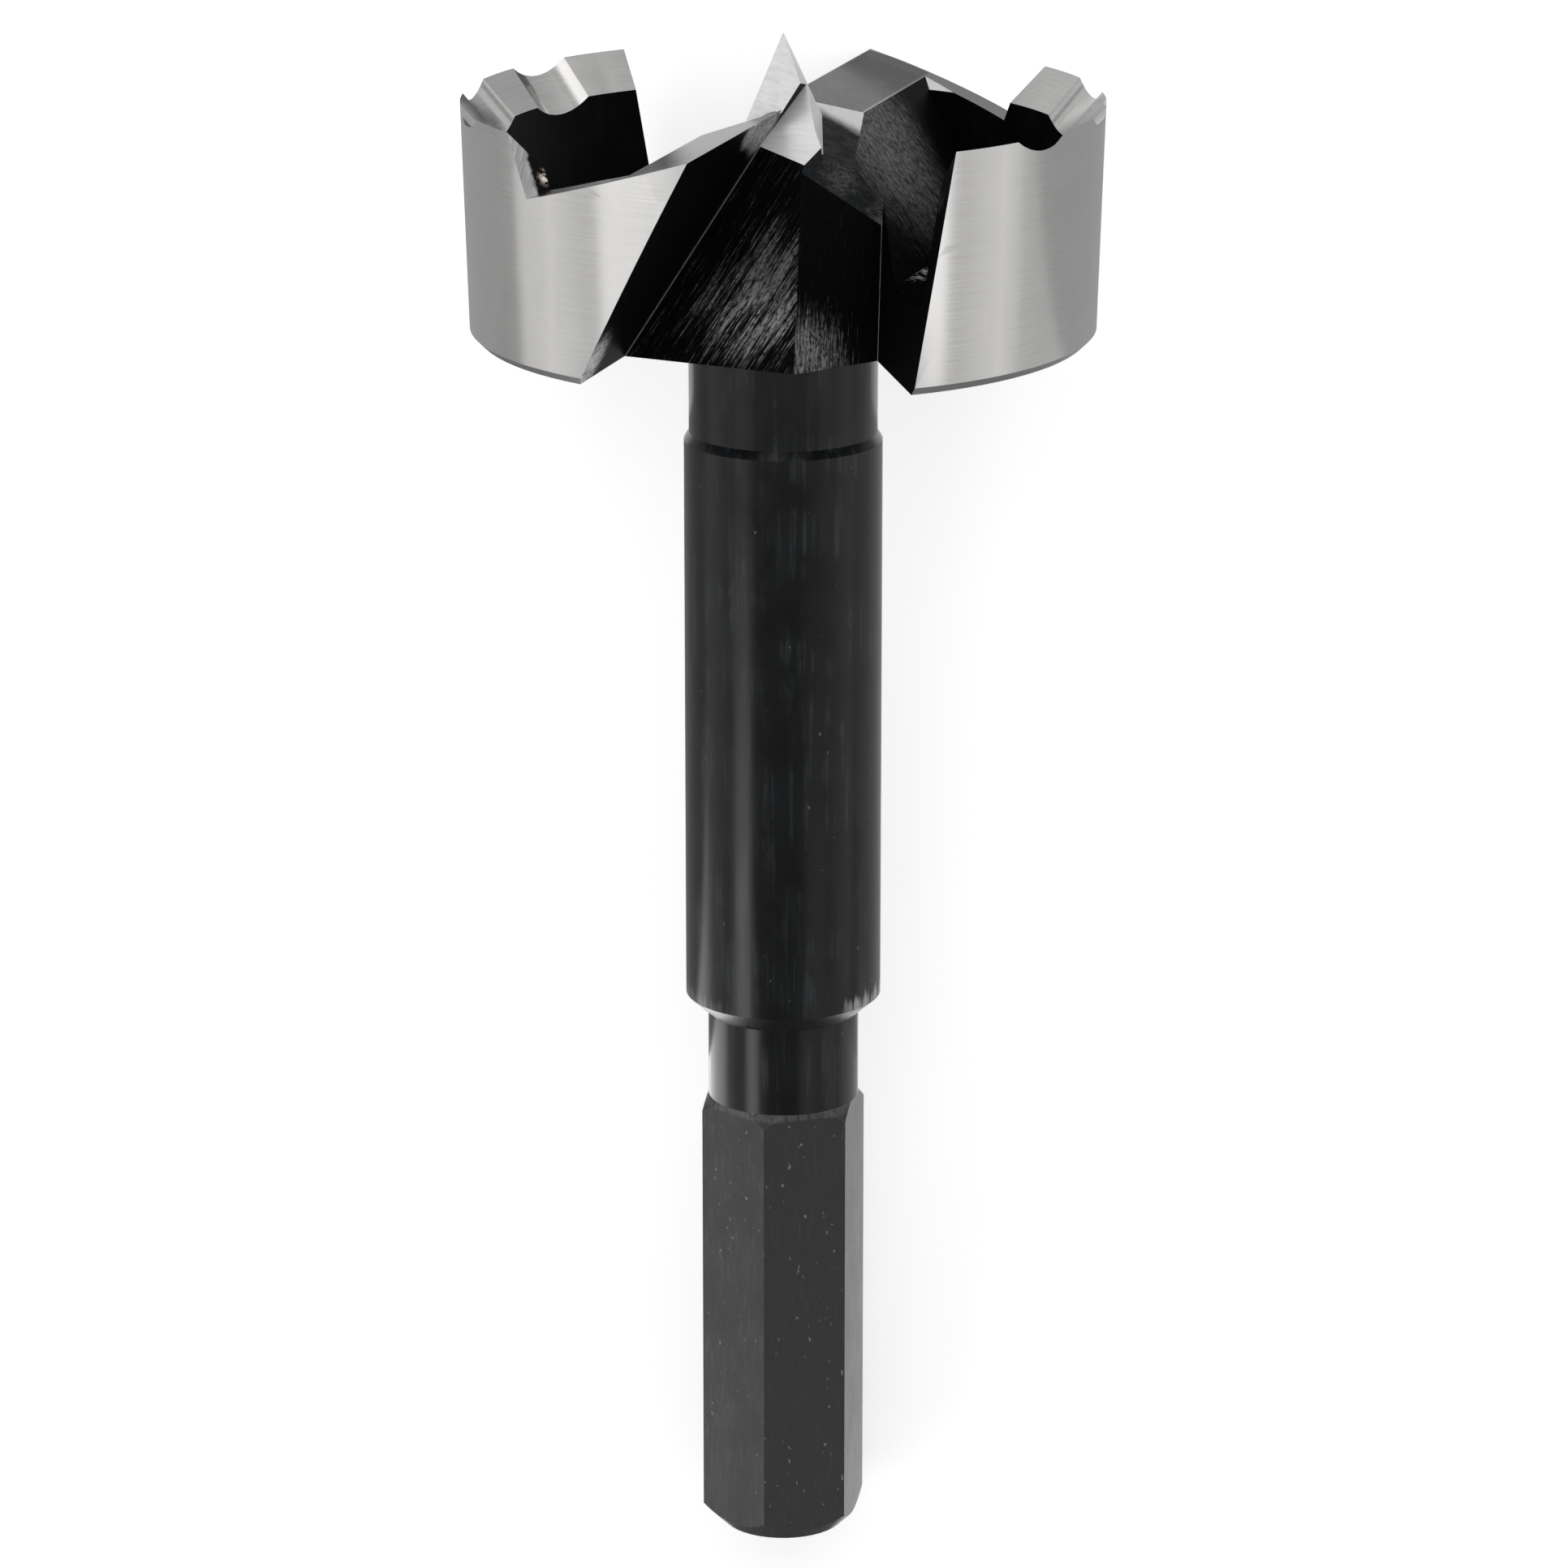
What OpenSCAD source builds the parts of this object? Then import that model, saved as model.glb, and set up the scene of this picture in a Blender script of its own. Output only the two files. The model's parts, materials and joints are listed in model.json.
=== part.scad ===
// Forstner bit for wood: one turned and ground piece of tool steel, with a waved
// rim, two cutting lips, a centre point and a shank that ends in a hexagon.
// The bit is drawn upright along +Z from the end of its shank, with one lip along
// -Y, and is then laid down on the three points that it rests on.

/* [Head] */
// Cutting diameter at the crest of the rim
head_d = 38; // [30:0.5:46]
// Height from the underside of the head to the crest of the rim
head_h = 14; // [12:0.25:16]
// How much the radius falls from the rim to the underside
back_taper = 0.4; // [0.1:0.05:0.8]
// Chamfer around the underside
back_chamfer = 0.5; // [0.2:0.1:1]
// Thickness of the rim wall
rim_wall = 1.9; // [1.4:0.1:2.6]
// Slope of the ground bevel on top of the rim
rim_bevel = 49; // [35:1:55]
// Depth from the crest of the rim to the floor of the chip pockets
pocket_depth = 9.4; // [7:0.1:10.5]

/* [Waved rim] */
// Number of ground waves on each half of the rim
wave_count = 3; // [1:1:3]
// Angle from a lip back to its first wave
wave_start = 58; // [54:1:62]
// Angle from one wave to the next
wave_pitch = 26; // [20:1:27]
// Width of a wave at the rim
wave_w = 4.3; // [3:0.1:5]
// Depth of a wave, square to the bevel
wave_depth = 0.5; // [0.3:0.05:0.8]
// Angle from a lip back to the foot of the first tooth
tooth_start = 33; // [28:1:36]
// Lean of the front face of the first tooth
tooth_lean = 26; // [10:1:35]

/* [Lips] */
// How far a lip lies below the crest of the rim
lip_drop = 0.3; // [0.1:0.05:0.8]
// How far a lip runs ahead of the centre line
lip_lead = 0.55; // [0.3:0.05:0.9]
// Rake of the face under a lip
rake_angle = 28; // [20:1:32]
// Relief of the land behind a lip
land_angle = 17; // [10:1:20]
// Width of the land behind a lip
land_w = 4; // [3:0.25:5]
// Slope of the heel from the land down to the pocket floor
heel_angle = 55; // [48:1:65]

/* [Gullets] */
// Distance from the axis to the rear wall of a gullet, at the underside
trail_offset = 3.75; // [3:0.25:5]
// Turn of that wall from square to the lip
trail_turn = 30; // [24:1:36]
// Lean of that wall outwards, going up
trail_lean = 10; // [5:1:14]
// Distance from the axis to the gullet floor, at the underside
floor_offset = 10; // [8.5:0.25:11]
// Lean of that floor
floor_lean = 32; // [28:1:34]
// Turn of that floor from along the lip
floor_turn = 7.5; // [0:0.5:12]
// Distance from the axis to the side of the core, at the underside
core_offset = 9.6; // [8.5:0.1:11]
// Lean of that side
core_lean = 27.5; // [24:0.5:30]
// Turn of that side from square to the lip
core_turn = 36; // [30:1:42]
// Distance from the axis to the throat above that side, carried to the underside
throat_offset = 7.3; // [7:0.1:8.2]
// Lean of the throat
throat_lean = 15.5; // [12:0.5:20]
// Turn of the throat from square to the lip
throat_turn = 46; // [43:1:50]

/* [Centre point] */
// Height of the point above the crest of the rim
point_h = 3.95; // [2.5:0.05:5]
// Half angle of the point, across the lips
point_across = 21.5; // [18:0.5:30]
// Half angle of the point, along the lips
point_along = 20; // [14:0.5:24]
// Turn of the point from square to the lips
point_turn = 11; // [0:1:20]
// Depth below the point at which the gash under it meets the axis
gash_depth = 4; // [3:0.05:4.5]
// Slope of the gash
gash_angle = 41; // [36:1:46]
// Depth below the point at which the relief of the web meets the axis
web_depth = 5; // [4.5:0.1:5.6]
// Slope of the web's relief
web_angle = 26; // [20:1:32]
// Turn of the web's relief from square to the lip
web_turn = 26; // [18:1:34]
// Distance from the axis to the edge of that relief
web_edge = 1; // [0.8:0.05:1.4]
// Turn of that edge from square to the lip
web_edge_turn = 37; // [28:1:45]
// Radius that the web's relief reaches
web_r = 7; // [5:0.25:8]

/* [Shank] */
// Diameter of the round shank
shank_d = 11.9; // [10:0.1:13]
// Length of the round shank, with its chamfers
shank_l = 36.4; // [25:0.2:45]
// Chamfer at the top of the round shank
shank_top_chamfer = 0.5; // [0.2:0.1:0.8]
// Height of the chamfer at the bottom of the round shank
shank_foot_h = 1.2; // [0.6:0.1:2]
// Diameter of the neck between head and shank
neck_d = 11.3; // [9.6:0.1:11.5]
// Length of that neck
neck_l = 6; // [3:0.25:10]
// Diameter of the waist above the hexagon
waist_d = 9.2; // [9:0.1:9.6]
// Length of the waist
waist_l = 5.4; // [3:0.2:9]

/* [Hexagon] */
// Size across the flats
hex_af = 9; // [8:0.1:9.5]
// Length of the hexagon
hex_l = 28.2; // [20:0.2:36]
// Turn of the hexagon from the lip
hex_turn = 5; // [0:1:10]
// Height of the chamfer at its upper end
hex_top_h = 0.8; // [0.4:0.1:1.5]
// Height of the chamfer at its lower end
hex_end_h = 1.4; // [0.8:0.1:2]
// Diameter of the flat at its lower end
hex_end_d = 7.6; // [6:0.1:8]

/* [Hidden] */
$fn = 96;

// Heights along the axis, from the end of the shank
waist_z = hex_l;
shank_z = waist_z + waist_l;
neck_z = shank_z + shank_l;
head_z = neck_z + neck_l;
rim_z = head_z + head_h;
tip_z = rim_z + point_h;
lip_z = rim_z - lip_drop;
pocket_z = rim_z - pocket_depth;
bevel_h = rim_wall * tan(rim_bevel);

// Radii of the head and the hexagon
head_r = head_d / 2;
back_r = head_r - back_taper;
wall_r = head_r - rim_wall;
hex_r = hex_af / 2 / cos(30);

// How far the cones at the ends of the hexagon run on past its corners
past_corner = 2;

// Land and heel behind a lip, seen along the lip
land_x = lip_lead - land_w;
land_z = lip_z - land_w * tan(land_angle);
heel_x = land_x - (land_z - pocket_z) / tan(heel_angle);
centre_z = lip_z - lip_lead * tan(land_angle);

// Radius of a wave from its width and depth
wave_r = (pow(wave_w / 2, 2) + pow(wave_depth, 2)) / (2 * wave_depth);
wave_rise = wave_r - wave_depth;

// Size of a cutting block, larger than the whole bit
block = 3 * tip_z;

// The three points that the bit rests on: a lip's outer corner, the lower corner of
// the rear wall that faces it, and a corner of the hexagon
function polar(r, angle, z) = [r * sin(angle), -r * cos(angle), z];
foot_z = head_z + back_chamfer;
foot_r = back_r + back_taper * back_chamfer / head_h;
trail_at = trail_offset + back_chamfer * tan(trail_lean);
trail_angle = 90 + trail_turn - acos(trail_at / foot_r);
lip_r = back_r + back_taper * (lip_z - head_z) / head_h;
rest_lip = polar(lip_r, 180 + asin(lip_lead / lip_r), lip_z);
rest_heel = polar(foot_r, 180 + trail_angle, foot_z);
rest_hex = polar(hex_r, 180 + hex_turn, hex_end_h);

// Plane through those points, as roll about the axis and rise of the axis
plane_raw = cross(rest_hex - rest_lip, rest_heel - rest_lip);
plane_up = plane_raw / norm(plane_raw) * sign(plane_raw * (-rest_lip));
rest_roll = atan2(plane_up.x, -plane_up.y);
rest_rise = asin(plane_up.z);
rest_height = -(plane_up * rest_lip);

// Middle of the laid bit along Y: from the upper edge of its end to the tip
rest_middle = (tip_z * cos(rest_rise) - hex_end_d / 2 * sin(rest_rise)) / 2;

// Everything on the outer side of a plane: it faces the given turn about the axis,
// lies the given distance from the axis at height z and leans inwards going up
module beyond(turn, distance, lean, z) {
    translate([0, 0, z])
        rotate([0, 0, turn])
            translate([distance, 0, 0])
                rotate([0, -lean, 0])
                    translate([0, -block / 2, -block / 2])
                        cube(block);
}

// Turned outside of the head, tapered towards the underside
module blank() {
    rotate_extrude()
        polygon([
            [0, head_z],
            [back_r - back_chamfer, head_z],
            [foot_r, foot_z],
            [head_r + back_taper * bevel_h / head_h, rim_z + bevel_h],
            [0, rim_z + bevel_h]
        ]);
}

// Turned inside of the head: flat floor, straight wall and bevelled rim
module pocket() {
    rotate_extrude()
        polygon([
            [0, pocket_z],
            [wall_r, pocket_z],
            [wall_r, rim_z - bevel_h],
            [head_r + 2 * rim_wall, rim_z + 2 * bevel_h],
            [0, rim_z + 2 * bevel_h]
        ]);
}

// Half of the bar that carries a lip: land, heel and what is under them, up to edge_x
module lip_bar(edge_x, edge_z) {
    rotate([90, 0, 0])
        linear_extrude(head_d)
            polygon([
                [edge_x, head_z],
                [edge_x, edge_z],
                [land_x, land_z],
                [heel_x, pocket_z],
                [heel_x, head_z]
            ]);
}

// Bar of one lip, ahead of the centre line on the lip's own side only
module lip_carrier() {
    lip_bar(lip_lead, lip_z);
    translate([0, head_d, 0]) lip_bar(0, centre_z);
}

// Part of the rim ground away between a lip and the first tooth behind it
module lip_clearance() {
    intersection() {
        beyond(180, -lip_lead, 90 - land_angle, lip_z);
        beyond(-tooth_start, 0, tooth_lean, lip_z - head_r * sin(tooth_start) * tan(land_angle));
    }
}

// Waves ground across the bevel of one half of the rim
module rim_waves() {
    for (k = [0 : wave_count - 1])
        rotate([0, 0, -90 - wave_start - k * wave_pitch])
            translate([head_r, 0, rim_z])
                rotate([0, -rim_bevel, 0])
                    translate([0, 0, wave_rise])
                        rotate([0, 90, 0])
                            cylinder(r = wave_r, h = 4 * rim_wall, center = true);
}

// Four-sided centre point
module centre_point() {
    point_l = tip_z - pocket_z;
    across = point_l * tan(point_across);
    along = point_l * tan(point_along);
    rotate([0, 0, point_turn])
        intersection() {
            rotate([90, 0, 0])
                linear_extrude(2 * along, center = true)
                    polygon([[-across, pocket_z], [across, pocket_z], [0, tip_z]]);
            rotate([90, 0, 90])
                linear_extrude(2 * across, center = true)
                    polygon([[-along, pocket_z], [along, pocket_z], [0, tip_z]]);
        }
}

// Space between the rake face of one lip and the rear wall of the other half
module gullet_span() {
    difference() {
        beyond(0, lip_lead, -rake_angle, lip_z);
        beyond(trail_turn, trail_offset, -trail_lean, head_z);
    }
}

// Gullet in front of one lip: its floor, the side of the core and the gash at the point
module gullet() {
    intersection() {
        gullet_span();
        union() {
            beyond(-90 - floor_turn, floor_offset, floor_lean, head_z);
            beyond(-90, 0, 90 - gash_angle, tip_z - gash_depth);
            intersection() {
                beyond(-core_turn, core_offset, core_lean, head_z);
                beyond(-throat_turn, throat_offset, throat_lean, head_z);
            }
        }
    }
}

// Relief ground into the inner end of the land that lies across the gullet
module web_relief() {
    intersection() {
        gullet_span();
        beyond(-web_turn, 0, 90 - web_angle, tip_z - web_depth);
        beyond(web_edge_turn, web_edge, 0, lip_z);
        translate([0, 0, pocket_z]) cylinder(r = web_r, h = tip_z);
    }
}

// Cutting head: two halves alike, turned half a turn from each other
module head() {
    difference() {
        union() {
            difference() {
                blank();
                difference() {
                    pocket();
                    for (turn = [0, 180]) rotate([0, 0, turn]) lip_carrier();
                }
                for (turn = [0, 180])
                    rotate([0, 0, turn]) {
                        lip_clearance();
                        rim_waves();
                        web_relief();
                    }
            }
            centre_point();
        }
        for (turn = [0, 180]) rotate([0, 0, turn]) gullet();
    }
}

// Round shank with its neck, waist and chamfers
module shank() {
    rotate_extrude()
        polygon([
            [0, waist_z],
            [waist_d / 2, waist_z],
            [waist_d / 2, shank_z],
            [shank_d / 2, shank_z + shank_foot_h],
            [shank_d / 2, neck_z - shank_top_chamfer],
            [neck_d / 2, neck_z],
            [neck_d / 2, head_z + back_chamfer],
            [0, head_z + back_chamfer]
        ]);
}

// Hexagon with both ends turned to a cone
module hexagon() {
    intersection() {
        rotate([0, 0, hex_turn - 90]) cylinder(r = hex_r, h = shank_z, $fn = 6);
        rotate_extrude()
            polygon([
                [0, 0],
                [hex_end_d / 2, 0],
                [hex_end_d / 2 + past_corner * (hex_r - hex_end_d / 2), past_corner * hex_end_h],
                [waist_d / 2 + past_corner * (hex_r - waist_d / 2), hex_l - past_corner * hex_top_h],
                [waist_d / 2, hex_l],
                [waist_d / 2, shank_z],
                [0, shank_z]
            ]);
    }
}

// The whole bit, laid on its three points with the tip towards +Y
module forstner_bit() {
    color("dimgray")
        translate([0, -rest_middle, rest_height])
            rotate([rest_rise - 90, 0, 0])
                rotate([0, 0, -rest_roll])
                    union() {
                        head();
                        shank();
                        hexagon();
                    }
}

forstner_bit();
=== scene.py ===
"""Looks of a forstner bit that lies on a pale floor and is seen from above."""

import json
import logging
import math
from dataclasses import dataclass
from enum import IntEnum

import bmesh
import bpy
import numpy as np
from mathutils import Matrix, Vector


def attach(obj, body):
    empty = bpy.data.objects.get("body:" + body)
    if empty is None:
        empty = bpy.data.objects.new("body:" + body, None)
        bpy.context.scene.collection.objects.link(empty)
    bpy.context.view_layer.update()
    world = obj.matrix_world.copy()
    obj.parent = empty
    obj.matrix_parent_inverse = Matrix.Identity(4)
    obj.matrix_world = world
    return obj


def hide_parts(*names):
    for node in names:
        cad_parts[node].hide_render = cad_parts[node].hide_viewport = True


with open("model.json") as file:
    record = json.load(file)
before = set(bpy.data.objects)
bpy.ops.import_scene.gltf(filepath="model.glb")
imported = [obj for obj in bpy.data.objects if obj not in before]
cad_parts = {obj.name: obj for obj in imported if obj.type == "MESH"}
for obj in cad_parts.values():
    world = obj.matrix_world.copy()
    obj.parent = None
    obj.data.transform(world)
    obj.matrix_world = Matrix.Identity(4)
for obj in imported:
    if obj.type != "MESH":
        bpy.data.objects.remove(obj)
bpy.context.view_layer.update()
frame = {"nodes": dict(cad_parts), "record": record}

log = logging.getLogger("forstner_bit")

Numbers = tuple[float, ...]
Socket = bpy.types.NodeSocket

MM = 0.001
TINY = 1e-9
UPRIGHT = np.array([0.0, 0.0, 1.0])
SIDEWAYS = np.array([1.0, 0.0, 0.0])

# Spans of a noise over which a tone goes from its dark end to its light end.
MIDDLE = (0.3, 0.7)
NARROW = (0.36, 0.66)

NODE = "forstner_bit"
PLACE = "own_place"


class Zone(IntEnum):
    """Surfaces of the bit that were made in one operation and share a finish."""

    OUTSIDE = 0
    RIM = 1
    BACK_EDGE = 2
    UNDERSIDE = 3
    POCKET_WALL = 4
    POCKET_FLOOR = 5
    LAND = 6
    HEEL = 7
    RAKE = 8
    REAR_WALL = 9
    GULLET_FLOOR = 10
    CORE_SIDE = 11
    THROAT = 12
    POINT = 13
    RELIEF = 14
    TOOTH = 15
    SHANK = 16
    HEXAGON = 17


INNER = (Zone.HEEL, Zone.GULLET_FLOOR, Zone.CORE_SIDE, Zone.THROAT, Zone.POINT, Zone.RELIEF)
TURNED = (Zone.OUTSIDE, Zone.POCKET_WALL, Zone.BACK_EDGE, Zone.SHANK, Zone.RIM)


def plane_normal(turn: float, lean: float) -> np.ndarray:
    """Normal of a plane that faces a turn about the axis and leans inwards going up.

    Args:
        turn: Angle about the axis from the bit's own x, in degrees.
        lean: Lean of the plane, in degrees.

    Returns:
        The unit vector (cos turn cos lean, sin turn cos lean, sin lean).
    """
    a, b = math.radians(turn), math.radians(lean)
    return np.array([math.cos(a) * math.cos(b), math.sin(a) * math.cos(b), math.sin(b)])


@dataclass(frozen=True)
class Plane:
    """A flat face of the head: its outward normal and a point on it, in the bit's own frame.

    The point is given where the distance from the face is asked for.
    """

    normal: np.ndarray
    point: Numbers = (0.0, 0.0, 0.0)

    @classmethod
    def beyond(cls, turn: float, distance: float, lean: float, z: float) -> "Plane":
        """The plane that faces a turn, a distance from the axis at height z, leaning inwards."""
        a = math.radians(turn)
        return cls(plane_normal(turn, lean), (distance * math.cos(a), distance * math.sin(a), z))

    def offset(self) -> float:
        """Distance of the plane from the bit's own zero, along its normal."""
        return float(self.normal @ np.array(self.point))


@dataclass(frozen=True)
class BitFrame:
    """The bit's own axes: z from the shank's end to the tip, one lip along -y."""

    origin: np.ndarray
    axes: np.ndarray

    @classmethod
    def from_record(cls, record: dict, shank_middle: float, roll: float) -> "BitFrame":
        """Reads the axis from the shank's mount.

        Args:
            record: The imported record.
            shank_middle: Distance from the shank's end to that mount, in millimetres.
            roll: Angle about the axis from the top of the laid bit to its upper lip, in degrees.

        Returns:
            The frame, with the three axes as columns and lengths in metres.
        """
        mount = next(m for m in record["mounts"] if m["name"] == "shank")
        tip = -np.array(mount["axis"], float)
        tip /= np.linalg.norm(tip)
        top = np.cross(SIDEWAYS, tip)
        a = math.radians(roll)
        lip = -math.sin(a) * SIDEWAYS + math.cos(a) * top
        axes = np.column_stack([np.cross(-lip, tip), -lip, tip])
        return cls(np.array(mount["pos_m"], float) - shank_middle * MM * tip, axes)

    def inward(self, points: np.ndarray) -> np.ndarray:
        """Turns row positions in metres into the bit's own millimetres."""
        return (points - self.origin) @ self.axes / MM

    def outward(self, points: np.ndarray) -> np.ndarray:
        """Turns the bit's own millimetres into row positions in metres."""
        return points * MM @ self.axes.T + self.origin

    def direction(self, vectors: np.ndarray) -> np.ndarray:
        """Turns directions of the bit into directions of the row."""
        return vectors @ self.axes.T


@dataclass(frozen=True)
class Sizes:
    """Sizes of the bit that its surfaces are told apart by, in millimetres and degrees.

    A turn is an angle about the axis from the bit's own x, and a lean is that of a face inwards.
    """

    head_r: float = 19.0
    wall_r: float = 17.1
    wall_gap: float = 0.3
    head_z: float = 76.0
    rim_z: float = 90.0
    lip_z: float = 89.7
    lip_lead: float = 0.55
    land_x: float = 3.45
    land_lean: float = 73.0
    heel_lean: float = 35.0
    rake_lean: float = -28.0
    rear_turn: float = 30.0
    rear_lean: float = -10.0
    floor_turn: float = -97.5
    floor_out: float = 10.0
    floor_lean: float = 32.0
    core_turn: float = -36.0
    core_out: float = 9.6
    core_lean: float = 27.5
    throat_turn: float = -46.0
    throat_lean: float = 15.5
    tooth_turn: float = -33.0
    tooth_lean: float = 26.0
    relief_turn: float = -26.0
    relief_lean: float = 64.0
    point_facets: tuple[Numbers, ...] = ((-90.0, 49.0), (37.0, 0.0), (11.0, 21.5), (101.0, 20.0))
    rim_bevel: float = 49.0
    wave_start: float = 58.0
    wave_pitch: float = 26.0
    wave_count: int = 3
    wave_w: float = 4.3
    wave_depth: float = 0.5
    hex_l: float = 28.2
    shank_middle: float = 52.15
    rest_roll: float = 14.446

    def reach(self, zone: Zone) -> float:
        """Distance from the axis within which the middle of a flat face of this zone lies."""
        return self.wall_r - self.wall_gap if zone in INNER else self.head_r

    def planes(self) -> dict[Zone, list[Plane]]:
        """Flat surfaces of the head, for the gullet in front of the lip along -y.

        The land and heel are those of the other lip, which lie across that gullet.

        Returns:
            The planes of each zone that has flat faces.
        """
        lip = (self.lip_lead, 0, self.lip_z)
        foot = self.head_z
        return {
            Zone.LAND: [Plane(plane_normal(0, self.land_lean))],
            Zone.HEEL: [Plane(plane_normal(0, self.heel_lean))],
            Zone.RAKE: [Plane(plane_normal(0, self.rake_lean), lip)],
            Zone.REAR_WALL: [Plane(-plane_normal(self.rear_turn, self.rear_lean))],
            Zone.GULLET_FLOOR: [Plane.beyond(self.floor_turn, self.floor_out, self.floor_lean, foot)],
            Zone.CORE_SIDE: [Plane.beyond(self.core_turn, self.core_out, self.core_lean, foot)],
            Zone.THROAT: [Plane(plane_normal(self.throat_turn, self.throat_lean))],
            Zone.TOOTH: [Plane(plane_normal(self.tooth_turn, self.tooth_lean))],
            Zone.RELIEF: [Plane(plane_normal(self.relief_turn, self.relief_lean))],
            Zone.POINT: [Plane(plane_normal(turn, lean)) for turn, lean in self.point_facets],
        }


def grey(value: float, tint: float = 0.0) -> tuple[float, float, float, float]:
    """An opaque grey, with more blue for a positive tint and more red for a negative one."""
    return (value * (1 - tint), value, value * (1 + tint), 1.0)


class Recipe:
    """Node tree of one finish, with short calls for the nodes that the finishes share."""

    def __init__(self, name: str) -> None:
        """Starts a material with a Principled shader and the surface's own place.

        Args:
            name: Name of the material.
        """
        self.material = bpy.data.materials.new(name)
        self.material.use_nodes = True
        self.tree = self.material.node_tree
        self.tree.nodes.clear()
        self.shader = self.node("ShaderNodeBsdfPrincipled")
        out = self.node("ShaderNodeOutputMaterial")
        self.tree.links.new(self.shader.outputs["BSDF"], out.inputs["Surface"])
        own = self.node("ShaderNodeAttribute")
        own.attribute_name = PLACE
        self.own = own.outputs["Vector"]

    def node(self, kind: str, **settings: object) -> bpy.types.Node:
        """Adds a node and sets its properties.

        Args:
            kind: Blender's name for the kind of node.
            settings: Properties of the node.

        Returns:
            The new node.
        """
        made = self.tree.nodes.new(kind)
        for key, value in settings.items():
            setattr(made, key, value)
        return made

    def put(self, socket: Socket, value: object) -> None:
        """Links a socket to another one, or sets its value.

        Args:
            socket: The input to fill.
            value: A socket to link from, or a plain value.
        """
        if isinstance(value, bpy.types.NodeSocket):
            self.tree.links.new(value, socket)
        else:
            socket.default_value = value

    def place(self, stretch: Numbers = (1, 1, 1), axes: np.ndarray | None = None) -> Socket:
        """Place on the bit, along its own axes or others.

        Args:
            stretch: Millimetres for each unit of the result, by axis.
            axes: Three axes as columns, in the bit's own directions.

        Returns:
            The vector socket.
        """
        node = self.node("ShaderNodeMapping", vector_type="TEXTURE")
        if axes is not None:
            node.inputs["Rotation"].default_value = Matrix(axes.tolist()).to_euler()
        node.inputs["Scale"].default_value = stretch
        self.put(node.inputs["Vector"], self.own)
        return node.outputs["Vector"]

    def noise(
        self, vector: Socket, scale: float = 1.0, detail: float = 3.0, rough: float = 0.55
    ) -> Socket:
        """Fractal noise, about 0.5 on average.

        Args:
            vector: Where it is read.
            scale: Its grains for each unit of the vector.
            detail: Octaves.
            rough: Share of the finer octaves.

        Returns:
            The value socket.
        """
        node = self.node("ShaderNodeTexNoise")
        node.inputs["Scale"].default_value = scale
        node.inputs["Detail"].default_value = detail
        node.inputs["Roughness"].default_value = rough
        self.put(node.inputs["Vector"], vector)
        return node.outputs["Fac"]

    def reckon(self, operation: str, a: object, b: object = 0.0, c: object = 0.0) -> Socket:
        """One Math node.

        Args:
            operation: Blender's name for what it works out.
            a: First value or socket.
            b: Second value or socket.
            c: Third value or socket.

        Returns:
            The value socket.
        """
        node = self.node("ShaderNodeMath", operation=operation)
        for socket, value in zip(node.inputs, (a, b, c)):
            self.put(socket, value)
        return node.outputs["Value"]

    def scaled(self, value: object, factor: object, plus: object) -> Socket:
        """A value times a factor, plus another value."""
        return self.reckon("MULTIPLY_ADD", value, factor, plus)

    def blend(self, a: Socket, b: Socket, share: float) -> Socket:
        """Weighted mean of two values, with the given share of the first."""
        return self.reckon("ADD", self.times(a, share), self.times(b, 1 - share))

    def times(self, *factors: object) -> Socket:
        """Product of values.

        Args:
            factors: Values or sockets, the first of them a socket.

        Returns:
            The value socket.
        """
        result = factors[0]
        for factor in factors[1:]:
            result = self.reckon("MULTIPLY", result, factor)
        return result

    def most(self, *values: Socket) -> Socket:
        """The greatest of some values.

        Args:
            values: Value sockets.

        Returns:
            The value socket.
        """
        result = values[0]
        for value in values[1:]:
            result = self.reckon("MAXIMUM", result, value)
        return result

    def between(self, value: Socket, low: float, high: float) -> Socket:
        """Rises smoothly from 0 at low to 1 at high, or falls where high is the smaller.

        Args:
            value: What it follows.
            low: Where the result is 0.
            high: Where it is 1.

        Returns:
            The value socket.
        """
        node = self.node("ShaderNodeMapRange", interpolation_type="SMOOTHSTEP")
        node.inputs["From Min"].default_value = low
        node.inputs["From Max"].default_value = high
        self.put(node.inputs["Value"], value)
        return node.outputs["Result"]

    def past(self, value: Socket, at: float, soft: Numbers) -> Socket:
        """Goes from 0 to 1 over a stretch beside a value, whose two ends are counted from there."""
        return self.between(value, at + soft[0], at + soft[1])

    def along(self, direction: np.ndarray) -> Socket:
        """Distance along a direction of the bit, in millimetres.

        Args:
            direction: A unit vector in the bit's own frame.

        Returns:
            The value socket.
        """
        node = self.node("ShaderNodeVectorMath", operation="DOT_PRODUCT")
        node.inputs[1].default_value = direction
        self.put(node.inputs[0], self.own)
        return node.outputs["Value"]

    def from_plane(self, plane: Plane) -> Socket:
        """Distance from a flat face of the head, in millimetres."""
        signed = self.reckon("SUBTRACT", self.along(plane.normal), plane.offset())
        return self.reckon("ABSOLUTE", signed)

    def from_axis(self) -> Socket:
        """Distance from the bit's axis, in millimetres.

        Returns:
            The value socket.
        """
        flat = self.node("ShaderNodeVectorMath", operation="MULTIPLY")
        flat.inputs[1].default_value = (1, 1, 0)
        self.put(flat.inputs[0], self.own)
        node = self.node("ShaderNodeVectorMath", operation="LENGTH")
        self.put(node.inputs[0], flat.outputs["Vector"])
        return node.outputs["Value"]

    def from_spot(self, spot: Numbers) -> Socket:
        """Distance from a spot of the bit, in millimetres.

        Args:
            spot: The spot, in the bit's own frame.

        Returns:
            The value socket.
        """
        node = self.node("ShaderNodeVectorMath", operation="DISTANCE")
        node.inputs[1].default_value = spot
        self.put(node.inputs[0], self.own)
        return node.outputs["Value"]

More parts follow.
